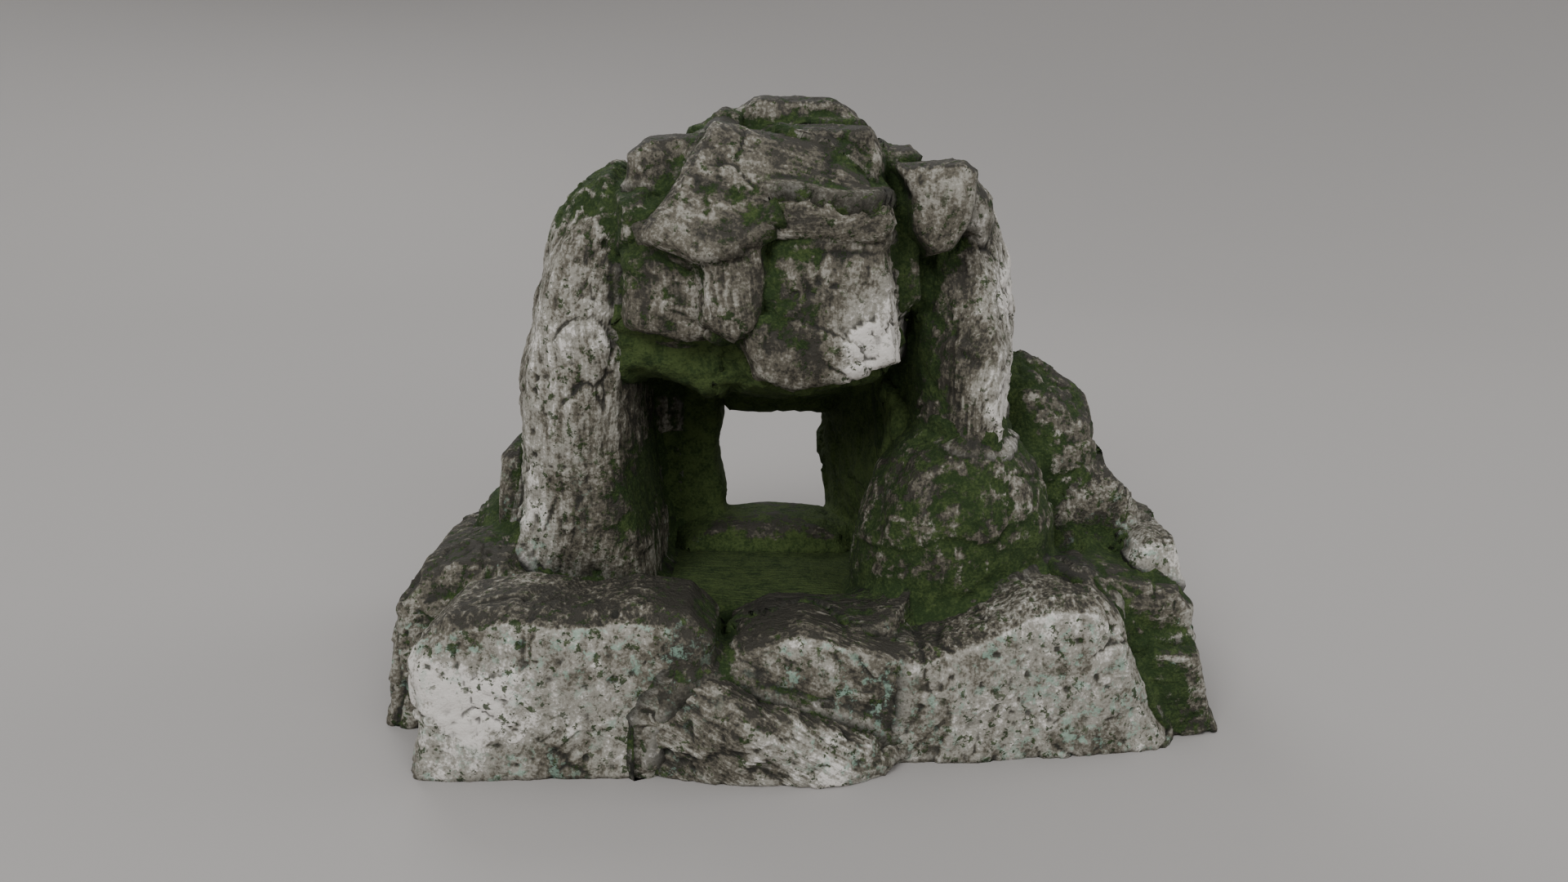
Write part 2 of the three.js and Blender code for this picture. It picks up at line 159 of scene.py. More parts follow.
CROWN_ROCKS = {
    "brow_slab": Rock(grain=FALLING, ribs=0.4, chips=0.4, bleach=-0.05, green=0.04,
                      mossy=((0.35, 0.45, 10, 0.35), (0.6, 0.3, 9, 0.3)),
                      pale=((0.45, 0.7, 20, 0.3), (0.2, 0.25, 14, 0.25))),
    "brow_ledge": Rock(grain=ACROSS, ribs=0.6, bleach=0.22),
    "right_pillar_cap": Rock(grain=UPRIGHT, ribs=0.4, chips=0.4, bleach=-0.35, pale=((0.45, 0.8, 10, 0.6),)),
    "right_pillar_top": Rock(bleach=0.3, ribs=0.3),
    "crown_left_wedge": Rock(green=0.3),
    "crown_left_block": Rock(ribs=0.5, bleach=0.1, green=0.08),
    "crown_right_wedge": Rock(ribs=0.6, green=0.12),
    "crown_right_outer_rock": Rock(ribs=0.5, green=0.1, bleach=0.1),
    "crown_top_left_rock": Rock(green=0.2),
    "crown_top_block": Rock(ribs=0.5, green=0.12, bleach=0.08),
}
REAR_ROCKS = {
    "rear_left_arch": Rock(hollow=True, grain=UPRIGHT, ribs=0.6, bleach=0.25, green=0.1, soft=2,
                           pale=((0.5, 0.6, 30, 0.4),)),
    "rear_right_arch": Rock(hollow=True, grain=UPRIGHT, ribs=0.6, green=0.15, bleach=0.1, soft=2),
    "crown_rear_rock": Rock(ribs=0.5, green=0.12, bleach=0.12, soft=2),
    "left_rear_rock": Rock(hollow=True, grain=ACROSS, bleach=0.3, green=0.1, pits=0.9),
    "right_rear_rock": Rock(hollow=True, grain=ACROSS, bleach=0.15, green=0.2, pits=0.9),
    "rear_centre_slab": Rock(grain=ACROSS, ribs=0.6, bleach=0.3, pits=0.9),
}
ALL_ROCKS = {**PLINTH, **BASE_COURSE, **OUTER_ROCKS, **UPRIGHTS, **CAVE_ROCKS, **LINTEL_ROCKS, **CROWN_ROCKS,
             **REAR_ROCKS}


def length(name, description, default, **limits):
    return bpy.props.FloatProperty(name=name, description=description, default=default, unit="LENGTH",
                                   **limits)


def colour(name, description, default):
    return bpy.props.FloatVectorProperty(name=name, description=description, subtype="COLOR", size=3,
                                         min=0, max=1, default=default)


class OrnamentShape(bpy.types.PropertyGroup):
    """Sizes of the carved rock surfaces."""

    grid_step: length("Grid step", "Edge of the small facets that carry a rock's relief", 1.1 * MM,
                      min=0.5 * MM)
    proud: length("Proud", "How far the rocks stand out to close the joints between castings", 0.5 * MM)
    mortar: length("Mortar", "How much further they stand out where they meet", 4.5 * MM)
    wall: length("Wall", "Wall of a hollow casting", 6 * MM)
    swell: length("Swell", "Height of the broad swells", 1.0 * MM)
    chip: length("Chips", "Depth of the chipped facets", 1.0 * MM)
    rib: length("Ribs", "Depth of the ribs along the bedding", 1.1 * MM)
    pit: length("Pits", "Depth of the weathered pits", 1.2 * MM)
    crack: length("Cracks", "Depth of the cracks", 1.5 * MM)
    grit: length("Grit", "Height of the fine grit", 0.3 * MM)


class OrnamentColours(bpy.types.PropertyGroup):
    """Paints of the castings."""

    chalk: colour("Chalk", "Rock bleached by light", (0.64, 0.61, 0.57))
    limestone: colour("Limestone", "Clean weathered rock", (0.282, 0.27, 0.232))
    earth: colour("Earth", "Brown weathered rock", (0.105, 0.094, 0.070))
    dark_earth: colour("Dark earth", "Darkest weathered rock", (0.030, 0.027, 0.020))
    # painted shade: this near-black is laid into hollows, seams and sheltered depths in place of their shade
    painted_shade_tint: colour("Painted shade", "Rock in crevices", (0.012, 0.012, 0.009))
    moss: colour("Moss", "Open moss", (0.055, 0.082, 0.022))
    deep_moss: colour("Deep moss", "Moss in the shade", (0.014, 0.030, 0.006))
    lichen: colour("Lichen", "Pale blue-green crust", (0.26, 0.40, 0.32))


class OrnamentStudio(bpy.types.PropertyGroup):
    """Floor, light and camera."""

    floor: colour("Floor", "Colour of the floor and backdrop", (0.36, 0.345, 0.335))
    floor_radius: length("Floor radius", "Where the floor starts to rise", 1.2)
    key_power: bpy.props.FloatProperty(
        name="Key light", description="Power of the soft key light", default=30, unit="POWER")
    fill_power: bpy.props.FloatProperty(
        name="Fill light", description="Power of the broad fill light", default=16, unit="POWER")
    sky: bpy.props.FloatProperty(
        name="Sky", description="Strength of the even light from all round", default=0.85)
    elevation: bpy.props.FloatProperty(
        name="Elevation", description="Camera's height above the floor plane", subtype="ANGLE",
        default=math.radians(15))
    distance: length("Distance", "Camera to the point it looks at", 378.5 * MM)
    target: bpy.props.FloatVectorProperty(
        name="Target", description="Point the camera looks at", subtype="TRANSLATION", size=3,
        default=(-6.2 * MM, -26.5 * MM, 102.2 * MM))
    lens: bpy.props.FloatProperty(
        name="Lens", description="Focal length on a 36 mm wide sensor, mm", default=24.45)


# Patterns in space ---------------------------------------------------------------------------------

@functools.cache
def lattice(channels):
    """Random numbers from -1 to 1 at the corners of a repeating cube of cells."""
    return np.random.default_rng(channels).uniform(-1, 1, (LATTICE ** 3, channels)).astype(np.float32)


@functools.cache
def shift(seed):
    """Where in the repeating cube a pattern starts."""
    return np.random.default_rng(seed).uniform(0, LATTICE, 3)


def corner_index(cell):
    """Row of the lattice for whole-number cell coordinates, which wrap round."""
    wrapped = cell & (LATTICE - 1)
    return (wrapped[:, 0] * LATTICE + wrapped[:, 1]) * LATTICE + wrapped[:, 2]


def noise(points, wavelength, seed):
    """Gradient noise, about -1 to 1: each cell corner has a random slope, and the eight ramps that the
    corners put on a point are blended with the fade 6t^5 - 15t^4 + 10t^3."""
    slopes = lattice(3)
    scaled = (points / wavelength + shift(seed)).astype(np.float32)
    cell = np.floor(scaled)
    part = scaled - cell
    cell = cell.astype(np.int32)
    fade = part * part * part * (part * (part * 6 - 15) + 10)
    total = np.zeros(len(points), np.float32)
    for corner in np.ndindex(2, 2, 2):
        weight = np.prod(np.where(corner, fade, 1 - fade), axis=1)
        ramp = np.einsum("ij,ij->i", slopes[corner_index(cell + np.array(corner, np.int32))], part - corner)
        total += weight * ramp
    return total * 1.4


def layered(points, wavelength, seed, layers=3):
    """Noise summed over layers, each half as long and half as high as the last."""
    return sum(noise(points, wavelength / 2 ** k, seed + k) / 2 ** k for k in range(layers))


def ridged(points, wavelength, seed, layers=2):
    """1 - 2|noise| summed over layers: sharp crests between rounded hollows."""
    return sum((1 - 2 * np.abs(noise(points, wavelength / 2 ** k, seed + k))) / 2 ** k
               for k in range(layers))


def cells(points, wavelength, seed):
    """Distance to the nearest and second nearest of the points strewn one to a cell, in cells, the way to
    the nearest, and four random numbers that belong to it."""
    jitter, marks = lattice(3), lattice(4)
    scaled = (points / wavelength + shift(seed)).astype(np.float32)
    home = np.floor(scaled).astype(np.int32)
    first = np.full(len(points), 9, np.float32)
    second = first.copy()
    nearest = np.zeros((len(points), 3), np.float32)
    owner = np.zeros(len(points), np.int32)
    for step in np.ndindex(3, 3, 3):
        cell = home + np.array(step, np.int32) - 1
        index = corner_index(cell)
        away = scaled - (cell + 0.5 + 0.45 * jitter[index])
        distance = np.einsum("ij,ij->i", away, away)
        closer = distance < first
        second = np.where(closer, first, np.minimum(second, distance))
        first = np.where(closer, distance, first)
        nearest[closer] = away[closer]
        owner = np.where(closer, index, owner)
    return np.sqrt(first), np.sqrt(second), nearest, marks[owner]


def smoothstep(low, high, value):
    """0 below low, 1 above high, and 3t^2 - 2t^3 between."""
    share = np.clip((value - low) / (high - low), 0, 1)
    return share * share * (3 - 2 * share)


# Broad forms ---------------------------------------------------------------------------------------

def node_triangles(name):
    """Corners of a CAD node's triangles, in mm."""
    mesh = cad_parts[name].data
    mesh.calc_loop_triangles()
    corners = np.empty(len(mesh.vertices) * 3, np.float32)
    mesh.vertices.foreach_get("co", corners)
    index = np.empty(len(mesh.loop_triangles) * 3, np.int32)
    mesh.loop_triangles.foreach_get("vertices", index)
    return corners.reshape(-1, 3)[index.reshape(-1, 3)].astype(float) / MM


def crossings(triangles, origin, directions):
    """For rays from one origin: the share at which each last meets the triangles, and how often it does.
    Each triangle's plane and edge tests are dot products with the direction, so all rays and triangles are
    three matrix products."""
    edge_a, edge_b = triangles[:, 1] - triangles[:, 0], triangles[:, 2] - triangles[:, 0]
    start = origin - triangles[:, 0]
    side = np.cross(start, edge_a)
    with np.errstate(divide="ignore", invalid="ignore"):
        facing = directions @ np.cross(edge_b, edge_a).T
        along_a = (directions @ np.cross(edge_b, start).T) / facing
        along_b = (directions @ side.T) / facing
        share = np.einsum("ij,ij->i", edge_b, side)[None, :] / facing
        slack = 1e-5
        hit = (along_a >= -slack) & (along_b >= -slack) & (along_a + along_b <= 1 + slack) & (share > 1e-6)
    return np.where(hit, share, -np.inf).max(1), hit.sum(1)


def ball_directions(polar, around, pole):
    """Unit directions: the angle from the pole axis, then the angle round it."""
    ring = np.sin(polar)
    directions = np.empty((*polar.shape, 3))
    for axis, part in zip(AXES[pole], (np.cos(polar), ring * np.cos(around), ring * np.sin(around))):
        directions[..., axis] = part
    return directions


def angle_grid(polar, around):
    """Both angles at every point of a grid, from the polar angle of each row and the angle round the pole
    of each column."""
    return polar[:, None] + np.zeros((1, len(around))), around[None, :] + np.zeros((len(polar), 1))


def blurred(grid, passes=1):
    """Each value averaged 1-2-1 with its neighbours along both ways, round and round the columns."""
    for _ in range(passes):
        grid = (np.roll(grid, 1, 1) + 2 * grid + np.roll(grid, -1, 1)) / 4
        grid[1:-1] = (grid[:-2] + 2 * grid[1:-1] + grid[2:]) / 4
    return grid


def patched(grid):
    """Gaps filled from what surrounds them: known values spread into a gap as the blurred sum of the values
    over the blurred count of them."""
    known = np.isfinite(grid)
    total, count = np.where(known, grid, 0), known.astype(float)
    for _ in range(0 if known.all() else GAP_BLUR):
        total, count = np.where(known, grid, blurred(total)), np.where(known, 1, blurred(count))
    return total / np.maximum(count, 1e-6)


def closed(grid, reach):
    """Narrow notches filled: the highest value within a reach, then the lowest of those."""
    for choose in (np.maximum, np.minimum):
        for _ in range(reach):
            grid = choose(choose(np.roll(grid, 1, 1), grid), np.roll(grid, -1, 1))
            padded = np.pad(grid, ((1, 1), (0, 0)), mode="edge")
            grid = choose(choose(padded[:-2], grid), padded[2:])
    return grid


def spline_weights(positions, count, periodic):
    """Matrix that reads a row of count values at fractional positions with Catmull-Rom curves."""
    base = np.floor(positions).astype(int)
    t = positions - base
    shares = [(-t + 2 * t ** 2 - t ** 3) / 2, (2 - 5 * t ** 2 + 3 * t ** 3) / 2,
              (t + 4 * t ** 2 - 3 * t ** 3) / 2, (-t ** 2 + t ** 3) / 2]
    matrix = np.zeros((len(positions), count))
    for k, share in enumerate(shares):
        index = base + k - 1
        index = index % count if periodic else np.clip(index, 0, count - 1)
        np.add.at(matrix, (np.arange(len(positions)), index), share)
    return matrix


class Form:
    """A rock's broad form, measured on its CAD node: how far the node reaches from a kernel point along
    each direction of a grid, as a share of the ellipsoid that fills the node's box."""

    def __init__(self, name, rock):
        self.name, self.rock = name, rock
        triangles = node_triangles(name)
        corners = triangles.reshape(-1, 3)
        self.low, self.high = corners.min(0), corners.max(0)
        self.half = (self.high - self.low) / 2
        self.pole = 2 if rock.hollow or self.half[2] > self.half[0] else 0
        self.turn = math.pi / 2 if rock.hollow else math.pi
        unit = ball_directions(*self.measured(), self.pole)
        directions = (unit * self.half).reshape(-1, 3)
        self.kernel = self.find_kernel(triangles, directions)
        if rock.hollow:
            self.half = self.half * np.array([1, 1, 2])
            directions = (unit * self.half).reshape(-1, 3)
        reach, _ = crossings(triangles, self.kernel, directions)
        reach = closed(patched(reach.reshape(ROWS + 1, COLUMNS)), NOTCH)
        reach[0] = reach[0].mean()
        if not rock.hollow:
            reach[-1] = reach[-1].mean()
        self.reach = blurred(reach, rock.soft)
        self.half = self.half * np.array([rock.spread, 1, 1])

    def measured(self):
        """Angles of the directions in which the form is measured."""
        return angle_grid(np.linspace(0, self.turn, ROWS + 1), np.arange(COLUMNS) * math.tau / COLUMNS)

    def find_kernel(self, triangles, directions):
        """Middle of the open underside of a hollow casting. For a solid one, its centroid if nearly all rays
        from there meet the surface just once, or else the inner point from which most of them do."""
        middle = (self.low + self.high) / 2
        if self.rock.hollow:
            return np.array([middle[0], middle[1], self.low[2] + LIFT])
        weight = np.einsum("ij,ij->i", triangles[:, 0], np.cross(triangles[:, 1], triangles[:, 2]))
        centroid = (triangles.sum(1) / 4 * weight[:, None]).sum(0) / weight.sum()
        rays = directions[::TRIED]

        def faults(point):
            return np.mean(crossings(triangles, point, rays)[1] != 1)

        if faults(centroid) < FAULTY:
            return centroid
        shares = np.stack(np.meshgrid(*[np.linspace(INNERMOST, OUTERMOST, PLACES)] * 3), -1).reshape(-1, 3)
        points = self.low + shares * (self.high - self.low)
        return min([centroid, *points], key=faults)

    def surface(self, step):
        """The form on a fine grid: rows and columns are moved so that they lie about step apart along the
        surface, and the reach between the measured directions follows Catmull-Rom curves."""
        rough = self.place(self.reach, *self.measured())
        down = np.linalg.norm(np.diff(rough, axis=0), axis=2).mean(1)
        ring = np.linalg.norm(np.diff(rough, axis=1, append=rough[:, :1]), axis=2)
        girth = ring.sum(1)
        widest = girth > np.percentile(girth, WIDEST)
        across = ring[widest].mean(0)
        rows = max(FEWEST_ROWS, round(down.sum() / step))
        columns = max(FEWEST_COLUMNS, round(girth[widest].mean() / step))
        row_at = np.interp(np.linspace(0, down.sum(), rows + 1), np.append(0, down.cumsum()),
                           np.arange(ROWS + 1))
        column_at = np.interp(np.linspace(0, across.sum(), columns, endpoint=False),
                              np.append(0, across.cumsum()), np.arange(COLUMNS + 1))
        reach = spline_weights(row_at, ROWS + 1, False) @ self.reach
        reach = reach @ spline_weights(column_at, COLUMNS, True).T
        return self.place(reach, *angle_grid(row_at * self.turn / ROWS, column_at * math.tau / COLUMNS))

    def place(self, reach, polar, around):
        """Points at a reach from the kernel, as shares of the ellipsoid, along directions given by angles."""
        return self.kernel + reach[..., None] * ball_directions(polar, around, self.pole) * self.half

    def holds(self, points):
        """Whether each point lies inside the form: nearer its kernel than the reach that way."""
        scaled = (points - self.kernel) / self.half
        along, side, up = (scaled[:, axis] for axis in AXES[self.pole])
        away = np.linalg.norm(scaled, axis=1) + 1e-9
        row = np.arccos(np.clip(along / away, -1, 1)) / self.turn * ROWS
        column = np.mod(np.arctan2(up, side) / math.tau * COLUMNS, COLUMNS)
        reach = self.reach[np.clip(np.rint(row).astype(int), 0, ROWS),
                           np.rint(column).astype(int) % COLUMNS]
        return (away < reach) & (row <= ROWS)


@functools.cache
def forms():
    """The broad form of every rock, by name."""
    return {name: Form(name, rock) for name, rock in ALL_ROCKS.items()}


# Shelter: how closed in a place is -----------------------------------------------------------------

def spread(field, passes):
    """A field of cells blurred along each axis with 1-2-1 averages."""
    for _ in range(passes):
        for axis in range(3):
            field = (np.roll(field, 1, axis) + 2 * field + np.roll(field, -1, axis)) / 4
    return field


class Shelter:
    """Cells of the space round the ornament, each filled or empty, and that filling blurred."""

    def __init__(self):
        low, high = np.array(CAD_BOX) / MM
        self.origin = low - MARGIN
        self.shape = np.ceil((high + MARGIN - self.origin) / CELL).astype(int)
        filled = np.zeros(self.shape, np.float32)
        self.own = {}
        for name, form in forms().items():
            block, inside = self.cells_of(form)
            self.own[name] = (block, inside)
            filled[block] = np.maximum(filled[block], inside)
        self.filled = filled
        self.far = spread(filled, FAR_BLUR)

    def cells_of(self, form):
        """The block of cells round a form, and whether each cell's centre is inside it."""
        first = np.clip(np.floor((form.low - self.origin) / CELL).astype(int) - 1, 0, None)
        last = np.ceil((form.high - self.origin) / CELL).astype(int) + 1
        axes = [self.origin[k] + (np.arange(first[k], last[k]) + 0.5) * CELL for k in range(3)]
        grid = np.stack(np.meshgrid(*axes, indexing="ij"), -1)
        inside = form.holds(grid.reshape(-1, 3)).reshape(grid.shape[:3]).astype(np.float32)
        return tuple(slice(a, b) for a, b in zip(first, last)), inside

    def others(self, name):
        """The blurred filling of every rock but one."""
        block, inside = self.own[name]
        rest = self.filled.copy()
        rest[block] = rest[block] * (1 - inside)
        return spread(rest, SEAM_BLUR)

    def read(self, field, points):
        """The field at points, blended between the eight cell centres round each."""
        place = np.clip((points - self.origin) / CELL - 0.5, 0, self.shape - 1.001)
        cell = np.floor(place).astype(int)
        part = place - cell
        total = np.zeros(len(points))
        for corner in np.ndindex(2, 2, 2):
            weight = np.prod(np.where(corner, part, 1 - part), axis=1)
            index = cell + corner
            total += weight * field[index[:, 0], index[:, 1], index[:, 2]]
        return total


@functools.cache
def shelter():
    """The one shelter that all rocks read."""
    return Shelter()


# Carved surfaces -----------------------------------------------------------------------------------

def is_point(row):
    """Whether a grid row is drawn together to one point."""
    return np.ptp(row, axis=0).max() < POINT


def grid_normals(grid, inside):
    """Unit normals of a closed grid from the slopes along its rows and columns, facing away from inside."""
    down = np.gradient(grid, axis=0)
    across = (np.roll(grid, -1, 1) - np.roll(grid, 1, 1)) / 2
    normals = np.cross(down, across)
    for end, inner in ((0, 1), (-1, -2)):
        if is_point(grid[end]):
            normals[end] = normals[inner].mean(0)
    length = np.linalg.norm(normals, axis=2, keepdims=True)
    normals = normals / np.maximum(length, 1e-12)
    outward = np.sign(np.einsum("ijk,ijk->", normals, grid - inside))
    return normals * (outward or 1)


def wandering(points, seed):
    """Three slow noises that bend straight patterns."""
    return np.stack([noise(points, WANDER, seed + k) for k in (1, 2, 3)], -1)


def bedded(points, rock, seed):
    """Points bent by slow noise and drawn together along the grain, so that a pattern on them runs on
    along it."""
    grain = np.array(rock.grain, float)
    grain /= np.linalg.norm(grain)
    wavy = points + BEND * wandering(points, seed)
    return wavy - 0.86 * (wavy @ grain)[:, None] * grain


def slanted(points, size, seed):
    """A plane of random slant in each cell, and steps between them."""
    _, _, away, marks = cells(points, size, seed)
    return np.einsum("ij,ij->i", away, marks[:, :3]) + 0.3 * marks[:, 3]


def relief(points, rock, seed, shape):
    """Height of the relief at points, in mm, and its ribs: broad swells and facets, chipped facets, ribs
    that follow the bedding and crests between them, less cracks along the borders of large cells and round
    pits in some of the small ones, and then grit."""
    bend = wandering(points, seed)
    wavy = points + BEND * bend
    broad = layered(points, SWELLS, seed + 5, 2) + 1.2 * slanted(wavy, FACETS, seed + 7)
    height = shape.swell / MM * rock.chips * broad
    height += shape.chip / MM * rock.chips * slanted(wavy, CHIPS, seed + 10)
    ribs = ridged(bedded(points, rock, seed), RIBS, seed + 20)
    height += shape.rib / MM * rock.ribs * (0.45 * ribs - 0.3)
    height += 0.45 * shape.chip / MM * ridged(wavy, CRESTS, seed + 30)
    first, second, _, _ = cells(wavy, CRACKS, seed + 40)
    open_crack = smoothstep(-0.1, 0.4, noise(points, OPENINGS, seed + 45))
    height -= shape.crack / MM * open_crack * (1 - smoothstep(0.0, 0.05, second - first))
    first, _, _, marks = cells(points + 1.6 * bend, PITS, seed + 50)
    size = 0.17 + 0.1 * marks[:, 1]
    pits = np.where(marks[:, 0] > 0.1, 1 - smoothstep(0.5 * size, 1.5 * size, first), 0)
    height -= shape.pit / MM * rock.pits * pits
    return height + shape.grit / MM * layered(points, GRIT, seed + 60, 2), ribs


def mesh_from_grid(name, grid):
    """A closed mesh from rows of points: the first and the last row are drawn together to one point each,
    and the columns close on themselves."""
    rows, columns = grid.shape[0] - 2, grid.shape[1]
    points = np.concatenate([grid[:1].mean(1), grid[1:-1].reshape(-1, 3), grid[-1:].mean(1)])
    ring = np.arange(columns)
    following = (ring + 1) % columns
    start = 1 + np.arange(rows - 1)[:, None] * columns
    quads = np.stack([start + ring, start + following, start + columns + following,
                      start + columns + ring], -1).reshape(-1, 4)
    last = len(points) - 1
    bottom = 1 + (rows - 1) * columns
    caps = np.concatenate([np.stack([np.zeros_like(ring), 1 + following, 1 + ring], -1),
                           np.stack([np.full_like(ring, last), bottom + ring, bottom + following], -1)])
    a, b, c = (points[quads[:, k]] for k in (0, 1, 2))
    if np.einsum("ij,ij->", a, np.cross(b, c)) < 0:
        quads, caps = quads[:, ::-1], caps[:, ::-1]
    mesh = bpy.data.meshes.new(name)
    mesh.vertices.add(len(points))
    mesh.vertices.foreach_set("co", (points * MM).astype(np.float32).ravel())
    loops = np.concatenate([quads.ravel(), caps.ravel()])
    starts = np.concatenate([np.arange(len(quads)) * 4, 4 * len(quads) + np.arange(len(caps)) * 3])
    mesh.loops.add(len(loops))
    mesh.loops.foreach_set("vertex_index", loops.astype(np.int32))
    mesh.polygons.add(len(starts))
    mesh.polygons.foreach_set("loop_start", starts.astype(np.int32))
    mesh.polygons.foreach_set("use_smooth", np.ones(len(starts), bool))
    mesh.update(calc_edges=True)
    return mesh


def write_attribute(mesh, name, values):
    """A number or a vector for each point of a mesh_from_grid mesh."""
    inner = values[1:-1].reshape(-1, *values.shape[2:])
    flat = np.concatenate([values[:1].mean(1), inner, values[-1:].mean(1)]).astype(np.float32)
    kind, field = ("FLOAT", "value") if values.ndim == 2 else ("FLOAT_VECTOR", "vector")
    mesh.attributes.new(name, kind, "POINT").data.foreach_set(field, flat.ravel())


def spotted(form, level, spots, points):
    """A level plus soft round spots, each a Gaussian about a place on the rock's face."""
    total = np.full(len(points), float(level))
    for x, z, radius, strength in spots:
        spot = form.low + np.array([x, 0, z]) * (form.high - form.low)
        away = (points[:, 0] - spot[0]) ** 2 + (points[:, 2] - spot[2]) ** 2
        total += strength * np.exp(-away / radius ** 2)
    return total


def carve(name, seed, shape):
    """One rock: its broad form, pushed out along the normals by the relief, less where another rock is near
    and with mortar there, and the numbers that its finish reads. A hollow casting goes on inside its rim as
    some rows of the same form, drawn in by the wall."""
    form = forms()[name]
    around = shelter()
    broad = form.surface(form.rock.coarse * shape.grid_step / MM)
    middle = form.kernel + np.array([0, 0, form.half[2] / 3 if form.rock.hollow else 0])
    normals = grid_normals(broad, middle)
    flat, flat_normals = broad.reshape(-1, 3), normals.reshape(-1, 3)
    height, ribs = (field.reshape(broad.shape[:2]) for field in relief(flat, form.rock, seed, shape))
    seam = around.read(around.others(name), flat + SEAM_CLEAR * flat_normals).reshape(height.shape)
    slight = min(1, min(form.half) / SLIGHT)
    height *= slight * (1 - 0.5 * smoothstep(0.1, 0.4, seam))
    height += slight * shape.mortar / MM * smoothstep(0.04, 0.34, seam)
    for end in (0, -1):
        if is_point(broad[end]):
            height[end] = height[end].mean()
    carved = broad + normals * (height + shape.proud / MM)[..., None]
    floor = form.low[2]
    carved[..., 2] = np.maximum(carved[..., 2], 0)
    smooth = np.stack([blurred(carved[..., k].copy(), EVENING) for k in range(3)], -1)
    hollowness = np.einsum("ijk,ijk->ij", smooth - carved, normals)
    values = {
        # hollows, depth and seam: the finish lays painted shade by these, and grows moss by them
        "hollows": np.clip(hollowness / HOLLOW, -1, 1),
        "depth": around.read(around.far, flat + DEPTH_CLEAR * flat_normals).reshape(height.shape),
        "seam": seam,
        "bleach": spotted(form, form.rock.bleach, form.rock.pale, flat).reshape(height.shape),
        "green": spotted(form, form.rock.green, form.rock.mossy, flat).reshape(height.shape),
        "ribs": ribs,
        "level": normals[..., 2],
        "banding": np.full(height.shape, form.rock.ribs),
        "bedding": bedded(flat, form.rock, seed).reshape(broad.shape) * MM,
    }
    if form.rock.hollow:
        inner = (broad - normals * shape.wall / MM)[::-INNER]
        inner[..., 2] = np.maximum(inner[..., 2], floor)
        carved[-1, :, 2] = inner[0, :, 2] = floor
        carved = np.concatenate([carved, inner])
        values = {key: np.concatenate([grid, grid[::-INNER]]) for key, grid in values.items()}
    mesh = mesh_from_grid(name + "_rock", carved)
    for key, grid in values.items():
        write_attribute(mesh, key, grid)
    return mesh


# Finishes ------------------------------------------------------------------------------------------

class Wire:
    """A shader socket's number, with arithmetic that adds Math nodes."""

    def __init__(self, finish, socket):
        self.finish, self.socket = finish, socket

    def math(self, operation, *operands, clamp=False):
        settings = {"operation": operation, "use_clamp": clamp}
        return self.finish.node("ShaderNodeMath", settings, dict(enumerate(operands)))

    def __add__(self, other):
        return self.math("ADD", self, other)

    def __mul__(self, other):
        return self.math("MULTIPLY", self, other)

    def __sub__(self, other):
        return self.math("SUBTRACT", self, other)

    def __rsub__(self, other):
        return self.math("SUBTRACT", other, self)

    __radd__, __rmul__ = __add__, __mul__

    def clamp(self):
        return self.math("ADD", self, 0.0, clamp=True)

    def ramp(self, low, high):
        """0 below low, 1 above high, and an S-curve between."""
        settings = {"interpolation_type": "SMOOTHSTEP"}
        values = {"Value": self, "From Min": low, "From Max": high}
        return self.finish.node("ShaderNodeMapRange", settings, values)


class Finish:
    """A material in the making."""

    def __init__(self, name):
        self.material = bpy.data.materials.new(name)
        self.material.use_nodes = True
        self.tree = self.material.node_tree
        self.tree.nodes.clear()
        self.place = self.node("ShaderNodeTexCoord", output="Object")

    def node(self, kind, settings=(), values=(), output=0):
        """A node with its settings set first, then the values or links of its sockets."""
        made = self.tree.nodes.new(kind)
        for key, value in dict(settings).items():
            setattr(made, key, value)
        for key, value in dict(values).items():
            if isinstance(value, Wire):
                self.tree.links.new(value.socket, made.inputs[key])
            else:
                made.inputs[key].default_value = value
        return Wire(self, made.outputs[output]) if made.outputs else None

    def attribute(self, name, output="Fac"):
        """What carve wrote on the rock's points under a name."""
        return self.node("ShaderNodeAttribute", {"attribute_name": name}, output=output)

    def noise(self, size, detail=3.0, roughness=0.5, vector=None):
        """Noise of 0 to 1 with features of a size in mm."""
        values = {"Vector": vector or self.place, "Scale": 1 / (size * MM), "Detail": detail,
                  "Roughness": roughness}
        return self.node("ShaderNodeTexNoise", {"noise_dimensions": "3D"}, values)

    def mix(self, share, a, b):
        """Colour a where share is 0, b where it is 1."""
        a, b = (tint if isinstance(tint, Wire) else (*tint, 1) for tint in (a, b))
        settings = {"data_type": "RGBA", "blend_type": "MIX", "clamp_factor": True}
        return self.node("ShaderNodeMix", settings, {0: share, 6: a, 7: b}, output=2)


TONES = (  # where the tone starts to reach a lighter paint, where it is there, and the paint
    (0.05, 0.36, "earth"),
    (0.32, 0.66, "limestone"),
    (0.68, 0.98, "chalk"),
)
CRUST_FADE = 0.05, 0.12  # heights between which the lichen crust fades out, m


